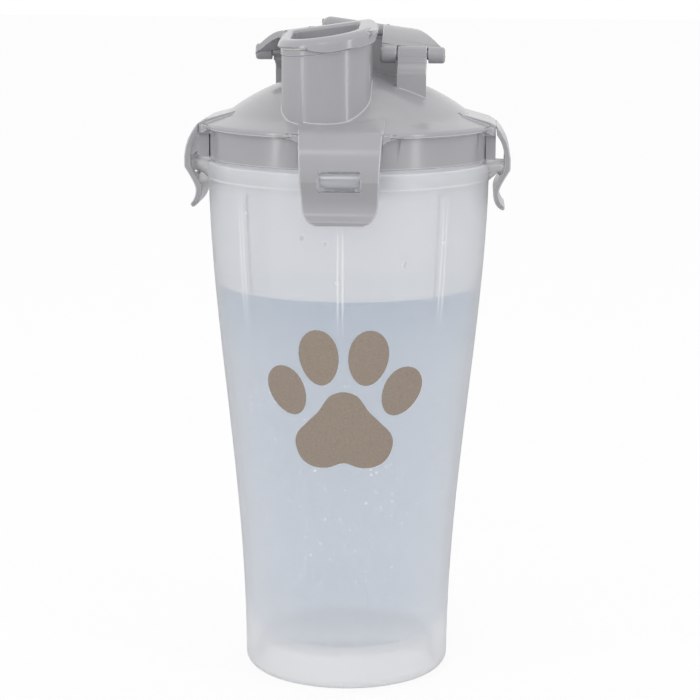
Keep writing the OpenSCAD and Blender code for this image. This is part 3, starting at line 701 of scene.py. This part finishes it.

# %% [markdown]
# A few drops cling to the wall above the water. Their places are read off the photograph: a
# sight line from the camera through each spot meets the cup's wall, and the drop sits there, a
# flattened ball of water that hangs a little below its middle. A thin white ring, a painted
# highlight, stands for the rim, where the water creeps up the wall and gathers light.

# %% The drops' clear water and their rims' painted highlight
def clear_drop():
    """Water with its true index, because a drop this round shows mainly what it bends."""
    material, tree, out = new_material("clear_drop")
    glass = add(tree, "ShaderNodeBsdfGlass", {"Color": linear("FFFFFF"), "Roughness": 0.02, "IOR": 1.33})
    tree.links.new(glass.outputs[0], out.inputs["Surface"])
    return material


def painted_meniscus_highlight():
    """A painted highlight: white for the light that the hollow curve of a drop's rim gathers."""
    material, tree, out = new_material("painted_meniscus_highlight")
    rim = add(tree, "ShaderNodeBsdfPrincipled", {"Base Color": linear("FFFFFF"), "Roughness": 0.1,
                                                 "IOR": 1.33})
    tree.links.new(rim.outputs[0], out.inputs["Surface"])
    return material


# %% Drops on the wall
drop_sag = 0.45  # how much a drop gains in width towards its bottom
drop_bulge = 0.55  # its thickness as a share of its width
rim_radius = 0.15 * mm
# Each drop's place in pixels, across and down the photograph, and its width and height.
drops_seen = {
    "upper left": (302, 238, 2.0 * mm, 2.0 * mm),
    "upper middle": (325, 244, 1.7 * mm, 1.7 * mm),
    "long one at the right": (405, 265, 1.7 * mm, 3.0 * mm),
    "small one in the middle": (337, 283, 0.9 * mm, 1.0 * mm),
    "small one at the left": (246, 213, 0.7 * mm, 0.8 * mm),
    "small one at the right": (444, 243, 0.8 * mm, 0.9 * mm),
}


def meniscus(bm, wide, tall, steps=24, sides=6):
    """The ring where a drop meets the wall."""
    rings = []
    for i in range(steps):
        a = 2 * math.pi * i / steps
        sag = 1 - drop_sag * math.sin(a) / 2
        middle = Vector((math.cos(a) * wide * sag, math.sin(a) * tall, 0)) / 2
        outward = middle.normalized()
        ring = []
        for k in range(sides):
            b = 2 * math.pi * k / sides
            away = outward * math.cos(b) + Vector((0, 0, math.sin(b)))
            ring.append(bm.verts.new(middle + rim_radius * away))
        rings.append(ring)
    for i in range(steps):
        here, after = rings[i], rings[(i + 1) % steps]
        for k in range(sides):
            bm.faces.new((here[k], after[k], after[(k + 1) % sides], here[(k + 1) % sides]))
    return [vert for ring in rings for vert in ring]


def drop_on_wall(bm, across, down, wide, tall):
    """Adds a drop where the sight line through a point of the photograph meets the cup."""
    place, normal = cup_tree.ray_cast(camera_place, sight_line(across, down))[:2]
    side = Vector((0, 0, 1)).cross(normal).normalized()
    up = normal.cross(side)
    turn = Matrix((side, up, normal)).transposed().to_4x4()
    made = bmesh.ops.create_uvsphere(bm, u_segments=20, v_segments=12, radius=0.5)["verts"]
    for vert in made:
        sag = 1 - drop_sag * vert.co.y
        vert.co = Vector((vert.co.x * wide * sag, vert.co.y * tall, vert.co.z * wide * drop_bulge))
    rim = meniscus(bm, wide, tall)
    # The rim's faces get the second material, the painted highlight.
    for face in {face for vert in rim for face in vert.link_faces}:
        face.material_index = 1
    bmesh.ops.transform(bm, matrix=Matrix.Translation(place) @ turn, verts=made + rim)


bm = bmesh.new()
for across, down, wide, tall in drops_seen.values():
    drop_on_wall(bm, across, down, wide, tall)
bmesh.ops.recalc_face_normals(bm, faces=bm.faces)
drops = as_piece(bm, "wall_drops")
drops.data.materials.append(clear_drop())
drops.data.materials.append(painted_meniscus_highlight())
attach(drops, "bottle")
print("drops on the wall:", ", ".join(drops_seen))

# %% [markdown]
# ## Floor, backdrop and light
# A white product photograph: a white ground that keeps a faint shadow, tall lamps on both sides,
# and an even, pale world. What a ray meets depends on its kind. Rays of the camera, and rays that
# come through the plastic, meet white, and so do mirror rays that miss the floor. Other rays meet
# a slightly greyer floor and world, so that the background is white and the object isn't washed
# out.

# %% Floor
def any_ray(tree, *kinds):
    """1 for a ray of one of these kinds, and 0 for any other."""
    path = add(tree, "ShaderNodeLightPath")
    found = path.outputs[kinds[0]]
    for kind in kinds[1:]:
        found = add(tree, "ShaderNodeMath", {0: found, 1: path.outputs[kind]}, operation="MAXIMUM").outputs[0]
    return found


def white_ground(glow_share=0.86):
    """Paper that mostly glows for the camera, with a share left for the shadow on it."""
    material, tree, out = new_material("white_ground")
    seen = any_ray(tree, "Is Camera Ray", "Is Transmission Ray")
    tone = add(tree, "ShaderNodeMix", {0: seen, 6: linear("DCDCDC"), 7: linear("FFFFFF")},
               data_type="RGBA")
    paper = add(tree, "ShaderNodeBsdfDiffuse", {"Color": tone.outputs[2]})
    white = add(tree, "ShaderNodeEmission", {"Color": linear("FFFFFF"), "Strength": 1.0})
    share = add(tree, "ShaderNodeMath", {0: seen, 1: glow_share}, operation="MULTIPLY")
    lit = add(tree, "ShaderNodeMixShader", {0: share.outputs[0], 1: paper.outputs[0], 2: white.outputs[0]})
    tree.links.new(lit.outputs[0], out.inputs["Surface"])
    return material


floor_side = 12
bpy.ops.mesh.primitive_plane_add(size=floor_side, location=(0, 0, 0))
floor = bpy.context.object
floor.name = "floor"
floor.data.materials.append(white_ground())
print(f"a white floor, {floor_side} m wide")

# %% World and lamps
world = bpy.data.worlds.new("studio")
bpy.context.scene.world = world
world.use_nodes = True
sky = world.node_tree
sky.nodes.clear()
seen = any_ray(sky, "Is Camera Ray", "Is Glossy Ray", "Is Transmission Ray")
soft = add(sky, "ShaderNodeBackground", {"Color": linear("F5F5F7"), "Strength": 0.91})
white = add(sky, "ShaderNodeBackground", {"Color": linear("FFFFFF"), "Strength": 1.0})
choice = add(sky, "ShaderNodeMixShader", {0: seen, 1: soft.outputs[0], 2: white.outputs[0]})
add(sky, "ShaderNodeOutputWorld", {"Surface": choice.outputs[0]})
lamp_aim = Vector((0, 0, 140)) * mm


def lamp(name, place, width, height, watts):
    """A soft box at a place, turned to face the bottle. Places and sizes are in metres."""
    data = bpy.data.lights.new(name, "AREA")
    data.shape = "RECTANGLE"
    data.size = width
    data.size_y = height
    data.energy = watts
    made = bpy.data.objects.new(name, data)
    made.location = place
    made.rotation_euler = (Vector(place) - lamp_aim).to_track_quat("Z", "Y").to_euler()
    bpy.context.scene.collection.objects.link(made)


lamp("left_box", (-1.1, -0.7, 0.45), 0.12, 0.9, 2.5)
lamp("right_box", (1.1, -0.7, 0.40), 0.16, 0.9, 2.6)
lamp("front_box", (-0.3, -1.2, 1.2), 0.5, 0.3, 1.5)
lamp("top_box", (0.2, 0.2, 1.6), 0.9, 0.9, 0.6)
print("four soft boxes and a pale world")

bpy.context.scene.view_settings.view_transform = "Standard"
# A sight line through the filled cup meets eight see-through faces, or more at a rib or a bubble,
# and Blender's own limit is eight.
bpy.context.scene.cycles.transparent_max_bounces = 16
